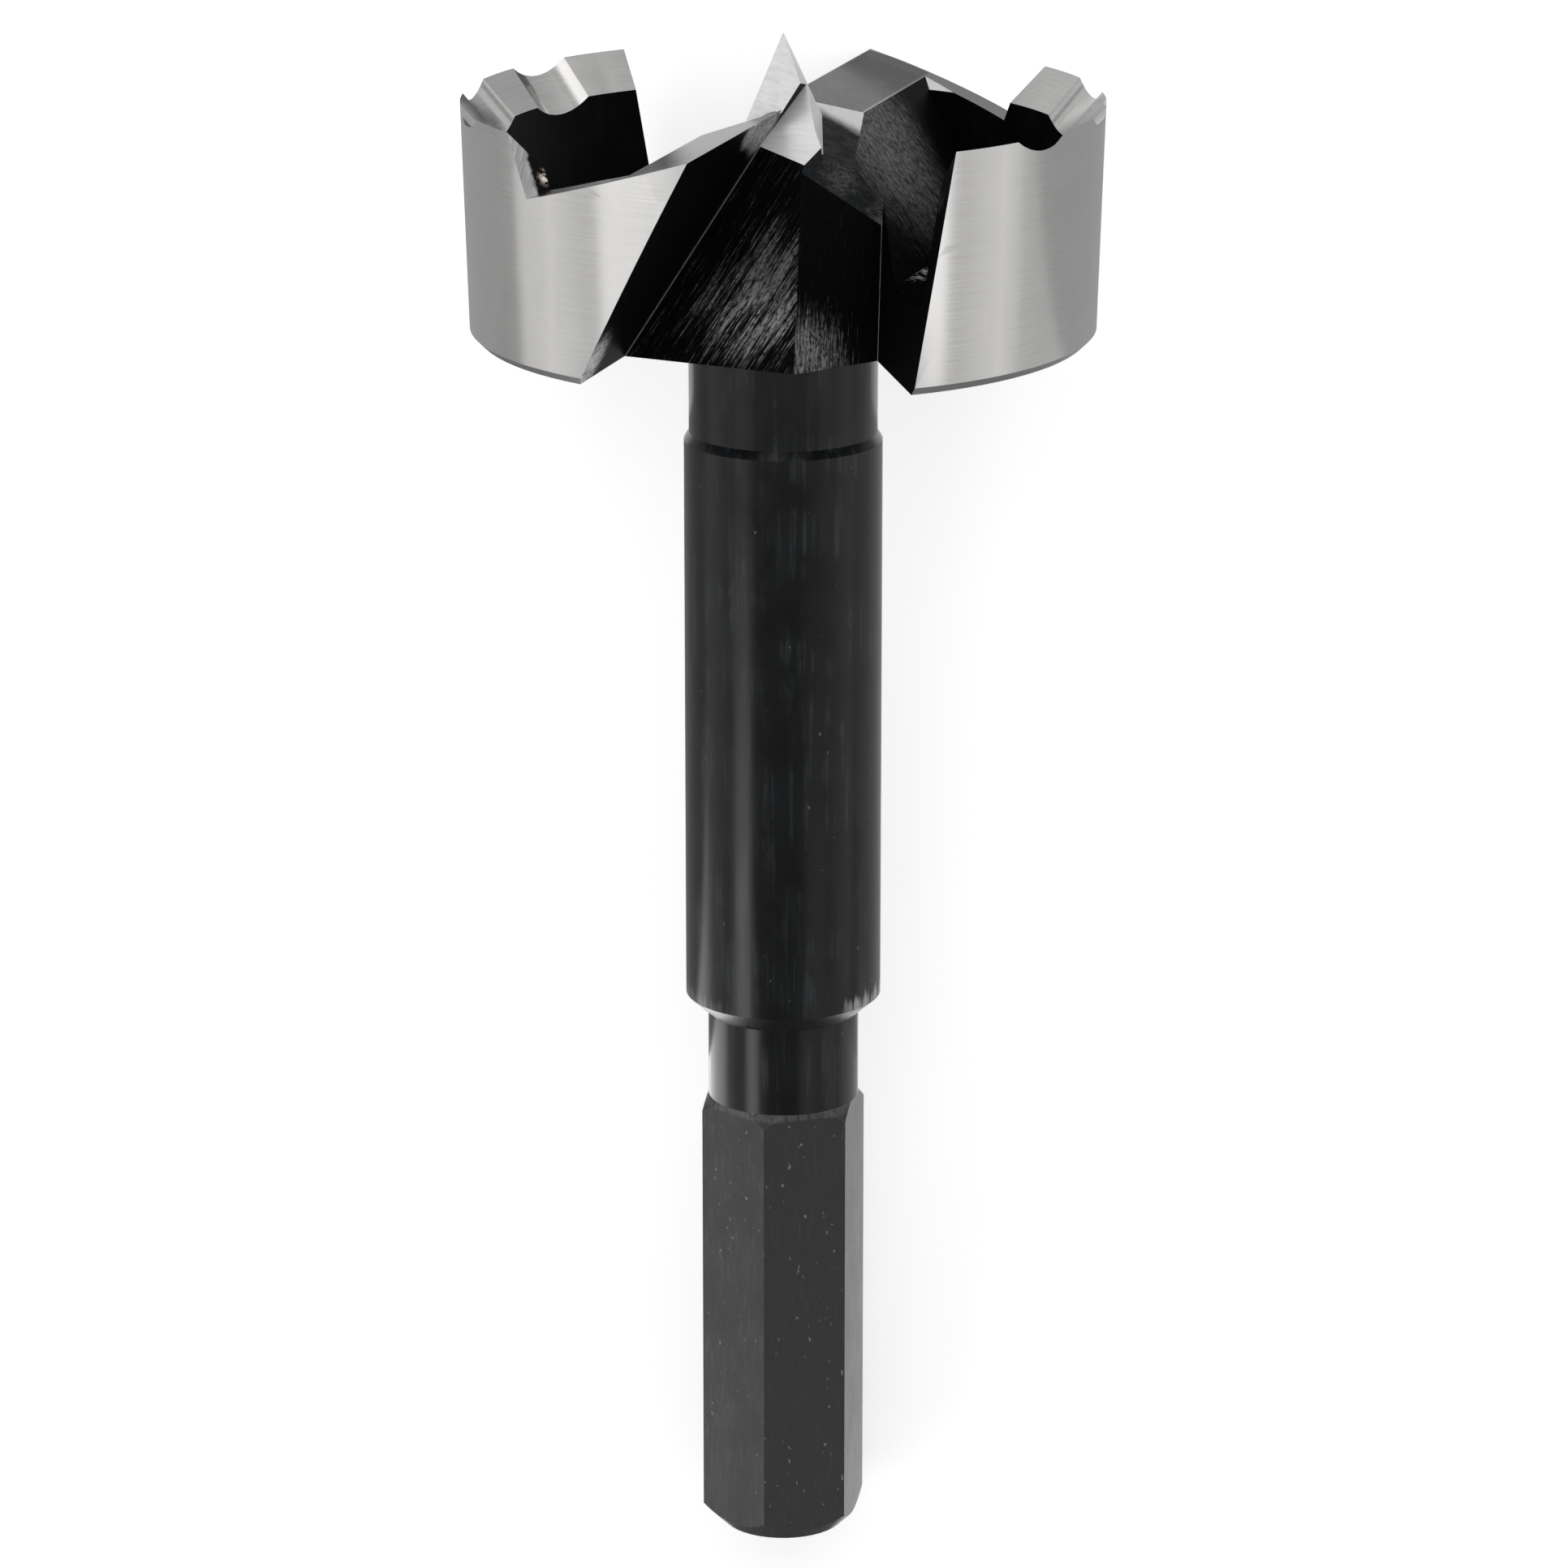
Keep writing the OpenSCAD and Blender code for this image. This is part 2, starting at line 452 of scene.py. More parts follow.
    def near(self, spot: Numbers, reach: float, core: float) -> Socket:
        """1 within a share of the reach from a spot of the bit, falling to 0 at the reach."""
        return self.between(self.from_spot(spot), reach, reach * core)

    def tones(
        self, factor: Socket, span: Numbers, tone: float, ends: Numbers, tint: float = 0.0
    ) -> Socket:
        """Grey that goes from a dark end to a light one over a span of the factor.

        Args:
            factor: What the grey follows.
            span: Values of the factor at which the two ends are reached.
            tone: The grey in between.
            ends: The two ends, as shares of that grey.
            tint: Blue of the grey where positive, red where negative.

        Returns:
            The colour socket.
        """
        node = self.node("ShaderNodeValToRGB")
        for element, at, end in zip(node.color_ramp.elements, span, ends):
            element.position = at
            element.color = grey(tone * end, tint)
        self.put(node.inputs["Fac"], factor)
        return node.outputs["Color"]

    def mix(self, factor: Socket, a: object, b: object) -> Socket:
        """Colour a where the factor is 0 and b where it is 1.

        Args:
            factor: Value socket from 0 to 1.
            a: First colour or socket.
            b: Second colour or socket.

        Returns:
            The colour socket.
        """
        node = self.node("ShaderNodeMix", data_type="RGBA")
        self.put(node.inputs["Factor"], factor)
        sockets = [s for s in node.inputs if s.type == "RGBA"]
        self.put(sockets[0], a)
        self.put(sockets[1], b)
        return next(s for s in node.outputs if s.type == "RGBA")

    def bump(self, height: Socket, depth: float) -> None:
        """Bump of the whole surface.

        Args:
            height: Value socket from 0 to 1.
            depth: Its depth in millimetres.
        """
        node = self.node("ShaderNodeBump")
        node.inputs["Strength"].default_value = 1.0
        node.inputs["Distance"].default_value = depth * MM
        self.put(node.inputs["Height"], height)
        self.put(self.shader.inputs["Normal"], node.outputs["Normal"])

    def surface(self, **values: object) -> None:
        """Sets or links the shader's sockets, named with underscores for blanks."""
        for key, value in values.items():
            self.put(self.shader.inputs[key.replace("_", " ")], value)


def plane_axes(normal: np.ndarray, direction: np.ndarray) -> np.ndarray:
    """Axes of a plane: a direction in it, the one across, and its normal.

    Args:
        normal: Unit normal of the plane.
        direction: Any direction that isn't the normal.

    Returns:
        The three axes as columns.
    """
    ahead = direction - normal * (normal @ direction)
    ahead /= np.linalg.norm(ahead)
    return np.column_stack([ahead, np.cross(normal, ahead), normal])


@dataclass(frozen=True)
class GroundSteel:
    """Bright steel with the fine scratches of a grinding wheel."""

    name: str
    tone: float = 0.73
    roughness: float = 0.18
    blur: float = 0.14
    grain: Numbers = (5.0, 5.0, 0.06)
    grain_share: float = 0.6
    cloud: Numbers = (2.2, 2.2, 3.0)
    span: Numbers = (0.32, 0.68)
    depth: float = 0.0006
    spread: float = 0.05
    tint: float = -0.012

    def material(self) -> bpy.types.Material:
        """Grain is noise drawn out along the scratches; it moves tone, gloss and bump.

        Returns:
            The finish as a material.
        """
        r = Recipe(self.name)
        grain = r.noise(r.place(self.grain), detail=4.0, rough=0.6)
        both = r.blend(grain, r.noise(r.place(self.cloud)), self.grain_share)
        ends = (1 - self.spread, 1 + self.spread)
        r.surface(Metallic=1.0, Base_Color=r.tones(both, self.span, self.tone, ends, self.tint))
        r.surface(Roughness=r.scaled(grain, self.blur, self.roughness - self.blur / 2))
        r.bump(grain, self.depth)
        return r.material


@dataclass(frozen=True)
class GroundFacet:
    """Bright facet ground by hand at the point: light grey, with coarse cross scratches."""

    name: str
    tone: float = 0.72
    ends: Numbers = (0.86, 1.08)
    metal: float = 0.6
    roughness: float = 0.4
    grain: Numbers = (1.6, 0.12, 0.35)
    depth: float = 0.004
    fade: Numbers = ()
    fade_along: Numbers = (0.0, -1.0, 0.0)
    wander: float = 0.6
    shade: float = 0.016
    shade_ends: Numbers = (0.3, 1.9)
    cloud: Numbers = (0.9, 0.5, 0.6)
    gloss: float = 0.5
    shade_gloss: float = 0.04

    def material(self) -> bpy.types.Material:
        """Scratches are drawn-out noise; bare metal falls to a dull shade along one direction.

        Returns:
            The finish as a material.
        """
        r = Recipe(self.name)
        grain = r.noise(r.place(self.grain), detail=4.0, rough=0.65)
        base = r.tones(grain, MIDDLE, self.tone, self.ends)
        r.surface(Metallic=self.metal, Roughness=self.roughness)
        if self.fade:
            wander = r.scaled(r.noise(r.place(), 1.2), self.wander, -self.wander / 2)
            way = r.reckon("ADD", r.along(np.array(self.fade_along)), wander)
            fade = r.between(way, *self.fade)
            cloud = r.noise(r.place(self.cloud), detail=4.0, rough=0.65)
            dark = r.tones(cloud, NARROW, self.shade, self.shade_ends)
            base = r.mix(fade, base, dark)
            r.surface(Metallic=r.scaled(fade, -self.metal, self.metal))
            r.surface(Specular_IOR_Level=r.scaled(fade, self.shade_gloss - self.gloss, self.gloss))
        r.surface(Base_Color=base)
        r.bump(grain, self.depth)
        return r.material


@dataclass(frozen=True)
class GroundLand:
    """Grey, fine-grained land of a lip, a little lighter on the rim's wall, with a painted highlight
    on its back and outer edges.
    """

    name: str
    back_x: float
    wall_r: float
    edge_r: float
    tone: float = 0.05
    ends: Numbers = (0.3, 1.9)
    roughness: float = 0.24
    grain: Numbers = (0.09, 0.6, 1.0)
    grain_share: float = 0.7
    cloud: Numbers = (1.0, 1.6, 1.0)
    depth: float = 0.004
    light: float = 0.42
    wall_light: float = 0.1
    wall_band: Numbers = (-0.05, 0.1)
    edge_highlight: float = 0.6
    back_band: Numbers = (-0.2, -0.06)
    edge_band: Numbers = (-0.35, -0.15)

    def material(self) -> bpy.types.Material:
        """Fine noise stretched along the lip; bands start at the back edge, wall and outside.

        Returns:
            The finish as a material.
        """
        r = Recipe(self.name)
        fine = r.noise(r.place(self.grain), detail=4.0, rough=0.7)
        both = r.blend(fine, r.noise(r.place(self.cloud), 0.6), self.grain_share)
        base = r.tones(both, NARROW, self.tone, self.ends)
        wall = r.past(r.from_axis(), self.wall_r, self.wall_band)
        back = r.past(r.along(SIDEWAYS), self.back_x, self.back_band)
        edge = r.past(r.from_axis(), self.edge_r, self.edge_band)
        # The bands at the back edge and the outside are a painted highlight along these edges.
        edges = r.times(r.most(back, edge), self.edge_highlight)
        light = r.most(r.times(wall, self.wall_light), edges)
        r.surface(Metallic=1.0, Roughness=self.roughness)
        r.surface(Base_Color=r.mix(light, base, grey(self.light)))
        r.bump(fine, self.depth)
        return r.material


@dataclass(frozen=True)
class GroundTooth:
    """Front of a rim tooth: bright along the outside, black further in, with a bright chip."""

    name: str
    chip: Numbers
    chip_edge: Numbers = (0.3, 0.22, 0.18, 1.0)
    chip_heart: Numbers = (0.95, 0.86, 0.8, 1.0)
    chip_fade: Numbers = (0.7, 0.28)
    heart_fade: Numbers = (0.49, 0.14)
    chip_grit: Numbers = (0.42, 0.56)
    bright_r: float = 18.1
    bright_soft: Numbers = (0.1, 0.45)
    ragged: float = 0.6
    tone: float = 0.5
    ends: Numbers = (0.6, 1.2)
    black: float = 0.008
    roughness: float = 0.34
    grain: Numbers = (0.1, 2.0, 2.0)
    grit: Numbers = (0.3, 0.3, 0.3)
    depth: float = 0.02

    def material(self) -> bpy.types.Material:
        """The black starts where the distance from the axis, roughened by noise, is too small.

        Returns:
            The finish as a material.
        """
        r = Recipe(self.name)
        grain = r.noise(r.place(self.grain), detail=4.0, rough=0.6)
        grit = r.noise(r.place(self.grit))
        ragged = r.scaled(grit, self.ragged, r.from_axis())
        bright = r.past(ragged, self.bright_r, self.bright_soft)
        steel = r.tones(grain, MIDDLE, self.tone, self.ends)
        base = r.mix(bright, grey(self.black), steel)
        away = r.from_spot(self.chip)
        chip = r.times(r.between(away, *self.chip_fade), r.between(grit, *self.chip_grit))
        wear_and_highlight = r.mix(r.between(away, *self.heart_fade), self.chip_edge, self.chip_heart)
        r.surface(Metallic=1.0, Base_Color=r.mix(chip, base, wear_and_highlight), Roughness=self.roughness)
        r.bump(grit, self.depth)
        return r.material


@dataclass(frozen=True)
class BlackOxide:
    """Steel blackened by oxide, with faint drawn lines and light specks of handling."""

    name: str
    tone: float = 0.005
    gloss: float = 0.4
    roughness: float = 0.2
    blur: float = 0.14
    grain: Numbers = (0.4, 0.4, 9.0)
    cloud: Numbers = (2.2, 2.2, 3.2)
    ends: Numbers = (0.5, 1.7)
    depth: float = 0.0005
    speck: Numbers = (0.34, 0.34, 0.5)
    specks: float = 0.5
    speck_at: float = 0.76
    speck_soft: Numbers = (0.0, 0.07)
    speck_tone: float = 0.2
    scuffs: float = 0.3
    scuff_lines: Numbers = (0.5, 0.68)
    scuff_clouds: Numbers = (0.42, 0.62)
    scuff_tone: float = 0.07
    # An optional band between two heights carries a painted highlight, like a chamfer catching the
    # light.
    highlight_z: Numbers = ()
    highlight_side: Numbers = (1.0, 0.0, 0.0)
    highlight_from: float = 3.2
    highlight_soft: float = 1.4
    highlight_foot: Numbers = (0.0, 0.2)
    highlight_top: Numbers = (0.3, -0.4)
    highlight_ragged: float = 3.0
    highlight_lines: Numbers = (0.3, 0.6)
    highlight_behind: float = 0.3
    highlight_tone: float = 0.7
    tint: float = 0.12

    def material(self) -> bpy.types.Material:
        """Specks are the peaks of a fine noise; lines are noise drawn out along the axis.

        Scuffs are the peaks of the lines where the clouds are high.

        Returns:
            The finish as a material.
        """
        r = Recipe(self.name)
        lines = r.noise(r.place(self.grain), rough=0.6)
        cloud = r.noise(r.place(self.cloud), detail=4.0)
        spots = r.noise(r.place(self.speck), detail=1.0)
        peaks = r.times(r.past(spots, self.speck_at, self.speck_soft), self.specks)
        base = r.tones(cloud, MIDDLE, self.tone, self.ends, self.tint)
        scuffs = r.times(r.between(lines, *self.scuff_lines), r.between(cloud, *self.scuff_clouds))
        base = r.mix(r.times(scuffs, self.scuffs), base, grey(self.scuff_tone, self.tint))
        # Painted highlight on the band between two heights.
        if self.highlight_z:
            base = r.mix(self.painted_highlight(r, lines), base, grey(self.highlight_tone))
        r.surface(Base_Color=r.mix(peaks, base, grey(self.speck_tone)))
        r.surface(Specular_IOR_Level=self.gloss)
        both = r.reckon("ADD", lines, cloud)
        r.surface(Roughness=r.scaled(both, self.blur, self.roughness - self.blur))
        r.bump(lines, self.depth)
        return r.material

    def painted_highlight(self, r: Recipe, lines: Socket) -> Socket:
        """A band between two heights with a painted highlight, full on one side and weaker on the
        other.

        Args:
            r: The recipe that the band is added to.
            lines: The drawn lines, which break up the band and its upper edge.

        Returns:
            A value socket, 1 where the highlight is painted.
        """
        low_z, high_z = self.highlight_z
        z = r.along(UPRIGHT)
        ragged = r.scaled(lines, -self.highlight_ragged, z)
        foot = r.past(z, low_z, self.highlight_foot)
        top = r.past(ragged, high_z - self.highlight_ragged / 2, self.highlight_top)
        across = r.along(np.array(self.highlight_side))
        front = r.between(across, self.highlight_from, self.highlight_from + self.highlight_soft)
        behind = r.between(across, -self.highlight_from, -self.highlight_from - self.highlight_soft)
        sides = r.most(front, r.times(behind, self.highlight_behind))
        return r.times(foot, top, sides, r.between(lines, *self.highlight_lines))


@dataclass(frozen=True)
class MarksAndSheen:
    """Patch of a black face where marks crowd: its middle, its reach and the marks' tone. Real marks,
    a painted sheen and a painted glint are drawn so.
    """

    spot: Numbers
    reach: float
    tone: float
    crowd: float = 0.2
    core: float = 0.15


@dataclass(frozen=True)
class MilledBlack:
    """Black milled face: marks of the cutter show as grey strokes along one direction."""

    name: str
    face: Plane
    marks: np.ndarray
    tone: float = 0.003
    tint: float = 0.1
    stroke: float = 0.12
    start: float = 0.56
    soft: float = 0.24
    pitch: float = 0.08
    length: float = 1.7
    across: float = 2.0
    grit: Numbers = (0.3, 0.14, 0.3)
    grit_span: Numbers = (0.3, 0.62)
    marks_and_sheens: tuple[MarksAndSheen, ...] = ()
    # The light line along the crease with another face is a painted highlight.
    crease: Plane | None = None
    crease_w: float = 0.1
    crease_core: float = 0.35
    crease_grit: Numbers = (0.2, 0.5)
    crease_highlight_tone: float = 0.22
    reach: float = 0.0
    reach_soft: Numbers = (1.2, -1.2)
    gloss: float = 0.02
    roughness: float = 0.42
    depth: float = 0.008

    def material(self) -> bpy.types.Material:
        """Strokes are the peaks of a noise drawn out along the marks, broken up by a finer grit.

        The peaks start lower towards the middle of each patch, so the strokes crowd there and take
        its tone; this draws real marks, and also a painted sheen and a painted glint. They end at the
        reach, and a painted highlight follows the crease with another face.

        Returns:
            The finish as a material.
        """
        r = Recipe(self.name)
        axes = plane_axes(self.face.normal, self.marks)
        stretch = (self.length, self.pitch, self.across)
        strokes = r.noise(r.place(stretch, axes), detail=5.0, rough=0.74)
        grit = r.noise(r.place(self.grit, axes), rough=0.65)
        height = strokes
        light = grey(self.stroke)
        # Patches where strokes crowd: real marks on some faces, a painted sheen or glint on others.
        for marks_and_sheen in self.marks_and_sheens:
            near = r.near(marks_and_sheen.spot, marks_and_sheen.reach, marks_and_sheen.core)
            height = r.scaled(near, marks_and_sheen.crowd, height)
            light = r.mix(near, light, grey(marks_and_sheen.tone))
        marks = r.between(height, self.start, self.start + self.soft)
        marks = r.times(marks, r.between(grit, *self.grit_span))
        if self.reach > 0:
            marks = r.times(marks, r.past(r.from_axis(), self.reach, self.reach_soft))
        base = r.mix(marks, grey(self.tone, self.tint), light)
        # Painted highlight along the crease, broken up by grit.
        if self.crease is not None:
            away = r.from_plane(self.crease)
            line = r.between(away, self.crease_w, self.crease_w * self.crease_core)
            wear_and_highlight = r.times(line, r.between(grit, *self.crease_grit))
            base = r.mix(wear_and_highlight, base, grey(self.crease_highlight_tone))
        r.surface(Base_Color=base, Specular_IOR_Level=self.gloss, Roughness=self.roughness)
        r.bump(strokes, self.depth)
        return r.material


@dataclass(frozen=True)
class PittedBlack:
    """Black floor of a pocket, left rough, with light grains crowded at one spot."""

    name: str
    spot: Numbers
    reach: float = 3.2
    core: float = 0.2
    crowd: float = 0.16
    tone: float = 0.003
    grain: float = 0.3
    faint: float = 0.02
    pit: Numbers = (0.3, 0.3, 0.3)
    peak: Numbers = (0.6, 0.76)
    gloss: float = 0.0
    roughness: float = 0.8
    depth: float = 0.03

    def material(self) -> bpy.types.Material:
        """Grains are the peaks of a fine noise, lower ones too towards the spot, faint elsewhere.

        Returns:
            The finish as a material.
        """
        r = Recipe(self.name)
        fine = r.noise(r.place(self.pit), detail=2.0, rough=0.5)
        near = r.near(self.spot, self.reach, self.core)
        peaks = r.between(r.scaled(near, self.crowd, fine), *self.peak)
        light = r.mix(near, grey(self.faint), grey(self.grain))
        r.surface(Base_Color=r.mix(peaks, grey(self.tone), light))
        r.surface(Specular_IOR_Level=self.gloss, Roughness=self.roughness)
        r.bump(fine, self.depth)
        return r.material


Finish = GroundSteel | GroundFacet | GroundLand | GroundTooth | BlackOxide | MilledBlack | PittedBlack


@dataclass(frozen=True)
class ForstnerBit:
    """The whole bit: a copy of its solid, with every surface in its own finish.

    Corners closer than the join, in metres, become one. The skin and step are in millimetres, and
    the values after them are shares of a face's normal that tell the surfaces apart.
    """

    bit: BitFrame
    sizes: Sizes
    join: float = 2e-7
    join_angle: float = 0.05
    skin: float = 0.6
    step: float = 0.01
    same_way: float = 0.9995
    level: float = 0.999
    upright: float = 0.9
    back_slope: Numbers = (0.5, 0.95)
    back_out: float = 0.3
    cone_slope: Numbers = (0.2, 0.95)
    turned_out: float = 0.97
    turned_least: float = 0.05

    def build(self, source: bpy.types.Object) -> bpy.types.Object:
        """Copies the solid, joins its triangles and gives each face its zone.

        Args:
            source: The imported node, which stays as it is.

        Returns:
            The new object, at the origin, with faces numbered by zone.
        """
        mesh = bpy.data.meshes.new("bit_surface")
        work = bmesh.new()
        work.from_mesh(source.data)
        bmesh.ops.remove_doubles(work, verts=work.verts, dist=self.join)
        angle = math.radians(self.join_angle)
        bmesh.ops.dissolve_limit(
            work, angle_limit=angle, verts=work.verts, edges=work.edges, delimit=set()
        )
        work.to_mesh(mesh)
        work.free()
        mesh.materials.clear()
        piece = bpy.data.objects.new("bit", mesh)
        bpy.context.scene.collection.objects.link(piece)
        zones, half = self.zones(mesh)
        mesh.polygons.foreach_set("material_index", zones.astype(np.int32))
        self.smooth(mesh, zones, half)
        return piece

    def faces(self, mesh: bpy.types.Mesh) -> tuple[np.ndarray, np.ndarray]:
        """Reads where the faces lie and the way they face.

        Args:
            mesh: The bit's mesh.

        Returns:
            Centres in the bit's own millimetres, and normals in its own frame.
        """
        centres = np.zeros(len(mesh.polygons) * 3)
        normals = np.zeros(len(mesh.polygons) * 3)
        mesh.polygons.foreach_get("center", centres)
        mesh.polygons.foreach_get("normal", normals)
        return self.bit.inward(centres.reshape(-1, 3)), normals.reshape(-1, 3) @ self.bit.axes

    def zones(self, mesh: bpy.types.Mesh) -> tuple[np.ndarray, np.ndarray]:
        """Finds the zone of each face from its place and the way it faces.

        A flat face belongs to the plane whose normal it has, in either half of the head, where it
        lies within the reach of that plane. What is left belongs to a turned surface, told by its
        distance from the axis, its height and slope.

        Args:
            mesh: The bit's mesh.

        Returns:
            The zone of each face, and 1 or -1 for the half of the head that it lies in.
        """
        s = self.sizes
        centre, normal = self.faces(mesh)
        radius = np.hypot(centre[:, 0], centre[:, 1])
        outward = (normal[:, :2] * centre[:, :2]).sum(1) / np.maximum(radius, TINY)
        up = normal[:, 2]
        z = centre[:, 2]
        zone = np.full(len(z), int(Zone.RIM))
        half = np.ones(len(z))
        head = z > s.head_z - self.step
        zone[head & (outward > self.upright) & (radius > s.wall_r)] = Zone.OUTSIDE
        zone[head & (outward < -self.upright) & (radius > s.wall_r - self.skin)] = Zone.POCKET_WALL
        zone[head & (up > self.level)] = Zone.POCKET_FLOOR
        zone[head & (up < -self.level)] = Zone.UNDERSIDE
        least, most = self.back_slope
        sloped = (-up > least) & (-up < most) & (outward > self.back_out)
        zone[head & (z < s.head_z + self.skin) & sloped] = Zone.BACK_EDGE
        for kind, planes in s.planes().items():
            within = head & (radius < s.reach(kind))
            for plane in planes:
                for side in (1.0, -1.0):
                    facing = normal @ (plane.normal * (side, side, 1.0))
                    chosen = within & (facing > self.same_way)
                    zone[chosen] = kind
                    half[chosen] = side
        zone[~head] = Zone.SHANK
        zone[~head & (z < s.hex_l)] = Zone.HEXAGON
        return zone, half

    def corners(self, mesh: bpy.types.Mesh) -> tuple[np.ndarray, np.ndarray]:
        """Reads where the corners of the faces lie.

        Args:
            mesh: The bit's mesh.

        Returns:
            Their places in the bit's own millimetres, and the number of the face of each.
        """
        vertex = np.zeros(len(mesh.loops), np.int32)
        mesh.loops.foreach_get("vertex_index", vertex)
        place = np.zeros(len(mesh.vertices) * 3)
        mesh.vertices.foreach_get("co", place)
        total = np.zeros(len(mesh.polygons), np.int32)
        mesh.polygons.foreach_get("loop_total", total)
        face = np.repeat(np.arange(len(total)), total)
        return self.bit.inward(place.reshape(-1, 3))[vertex], face

    def smooth(self, mesh: bpy.types.Mesh, zones: np.ndarray, half: np.ndarray) -> None:
        """Gives turned surfaces their true normals, and every corner its place on the bit.

        On a surface turned about the axis the slope is constant, so the normal at a corner is the
        face's own rise with the rest of its length pointing away from the axis. In a wave the
        normal points to the axis of the wheel that cut it. The place is that in the first half, so
        both halves have the same marks.

        Args:
            mesh: The bit's mesh.
            zones: Zone of each face.
            half: 1 or -1 for the half of the head that each face lies in.
        """
        centre, normal = self.faces(mesh)
        corner, face = self.corners(mesh)
        result = normal[face].copy()
        radial = corner[:, :2] / np.maximum(np.hypot(corner[:, 0], corner[:, 1]), TINY)[:, None]
        flat = np.hypot(normal[:, 0], normal[:, 1])
        rise = np.abs(normal[:, 2])
        radius = np.maximum(np.hypot(centre[:, 0], centre[:, 1]), TINY)
        outward = (normal[:, :2] * centre[:, :2]).sum(1) / radius
        least, most = self.cone_slope
        cone = (zones == Zone.HEXAGON) & (rise > least) & (rise < most)
        turned = np.isin(zones, TURNED) | cone
        turned &= (np.abs(outward) > self.turned_out * flat) & (flat > self.turned_least)
        at = turned[face]
        sign = np.sign(outward)[face][at][:, None]
        result[at, :2] = sign * radial[at] * flat[face][at][:, None]
        waves = ((zones == Zone.RIM) & ~turned)[face]
        result[waves] = self.wave_normals(corner[waves])
        mesh.polygons.foreach_set("use_smooth", np.ones(len(zones), bool))
        mesh.normals_split_custom_set(self.bit.direction(result).tolist())
        own = mesh.attributes.new(PLACE, "FLOAT_VECTOR", "CORNER")
        side = half[face]
        fold = np.column_stack([side, side, np.ones(len(side))])
        own.data.foreach_set("vector", (corner * fold).ravel())

    def wave_normals(self, points: np.ndarray) -> np.ndarray:
        """Normals of the nearest wave of the rim.

        Args:
            points: Points on the waves, in the bit's own millimetres.

        Returns:
            The unit normals, in the bit's own frame.
        """
        s = self.sizes
        wheel_r = (s.wave_w**2 / 4 + s.wave_depth**2) / (2 * s.wave_depth)
        bevel = math.radians(s.rim_bevel)
        steps = np.arange(s.wave_count) * s.wave_pitch
        turns = np.radians(np.concatenate([-90 - s.wave_start - steps, 90 - s.wave_start - steps]))
        out = np.column_stack([np.cos(turns), np.sin(turns), 0 * turns])
        axis = math.cos(bevel) * out + math.sin(bevel) * UPRIGHT
        lift = -math.sin(bevel) * out + math.cos(bevel) * UPRIGHT
        start = s.head_r * out + s.rim_z * UPRIGHT + (wheel_r - s.wave_depth) * lift
        gap = start[None] - points[:, None]
        gap -= (gap * axis[None]).sum(2)[..., None] * axis[None]
        length = np.linalg.norm(gap, axis=2)
        best = np.abs(length - wheel_r).argmin(1)
        rows = np.arange(len(points))
        return gap[rows, best] / length[rows, best][:, None]

    def milled(self) -> dict[Zone, Finish]:
        """Finishes of the black milled faces, with marks along the cut that made each one.

        Returns:
            The finish of each of these zones.
        """
        planes = {zone: found[0] for zone, found in self.sizes.planes().items()}
        rake, floor, core = planes[Zone.RAKE], planes[Zone.GULLET_FLOOR], planes[Zone.CORE_SIDE]
        crease = np.cross(rake.normal, floor.normal)
        ridge = np.cross(floor.normal, core.normal)
        return {
            Zone.HEEL: MilledBlack(
                "milled_heel",
                planes[Zone.HEEL],
                np.array([0.57, 0.2, -0.8]),
                stroke=0.1,
                start=0.54,
                pitch=0.12,
                length=0.9,
                reach=13.0,
                marks_and_sheens=(MarksAndSheen((4.6, 5.0, 86.8), 10.5, 0.2, 0.26),),
            ),
            Zone.RAKE: MilledBlack(
                "milled_rake",
                rake,
                crease,
                stroke=0.14,
                start=0.72,
                marks_and_sheens=(
                    MarksAndSheen((0.1, -3.6, 89.0), 3.2, 0.6, 0.7),
                    MarksAndSheen((0.5, -6.4, 89.6), 2.6, 0.7, 0.8),
                    MarksAndSheen((-6.2, -16.9, 76.8), 4.4, 0.95, 0.5),
                ),
                # The crease with the gullet floor carries a painted highlight.
                crease=floor,
            ),
            Zone.REAR_WALL: MilledBlack(
                "milled_rear_wall",
                planes[Zone.REAR_WALL],
                UPRIGHT,
                stroke=0.2,
                start=0.72,
                # A painted glint by the inner edge of the rim's wall.
                marks_and_sheens=(MarksAndSheen((13.2, -11.6, 87.0), 1.6, 0.4),),
                # The crease with the core side carries a painted highlight.
                crease=core,
                crease_w=0.16,
                crease_highlight_tone=0.55,
            ),
            Zone.GULLET_FLOOR: MilledBlack(
                "milled_gullet_floor",
                floor,
                crease,
                stroke=0.14,
                soft=0.16,
                pitch=0.11,
                length=3.0,
                # Both patches are a painted sheen low on the floor, drawn as crowded strokes.
                marks_and_sheens=(
                    MarksAndSheen((0.9, -8.5, 78.8), 5.4, 0.4, 0.13),
                    MarksAndSheen((1.9, -6.6, 81.8), 4.0, 0.18, 0.1),
                ),
                # The crease with the rake carries a painted highlight.
                crease=rake,
            ),
            Zone.CORE_SIDE: MilledBlack(
                "milled_core_side",
                core,
                ridge,
                start=0.6,
                # The patch is a painted sheen by the foot of the ridge, drawn as crowded strokes.
                marks_and_sheens=(MarksAndSheen((4.6, -9.2, 76.9), 4.8, 0.26, 0.26),),
            ),
            Zone.THROAT: MilledBlack(
                "milled_throat",
                planes[Zone.THROAT],
                np.array([0.5, 0.7, -0.5]),
                tone=0.02,
                stroke=0.05,
                pitch=0.3,
                length=0.7,
                start=0.4,
                soft=0.4,
                marks_and_sheens=(
                    MarksAndSheen((4.2, -2.0, 86.0), 2.0, 0.11),
                    MarksAndSheen((6.8, -0.9, 83.2), 2.2, 0.16),
                ),
            ),
        }

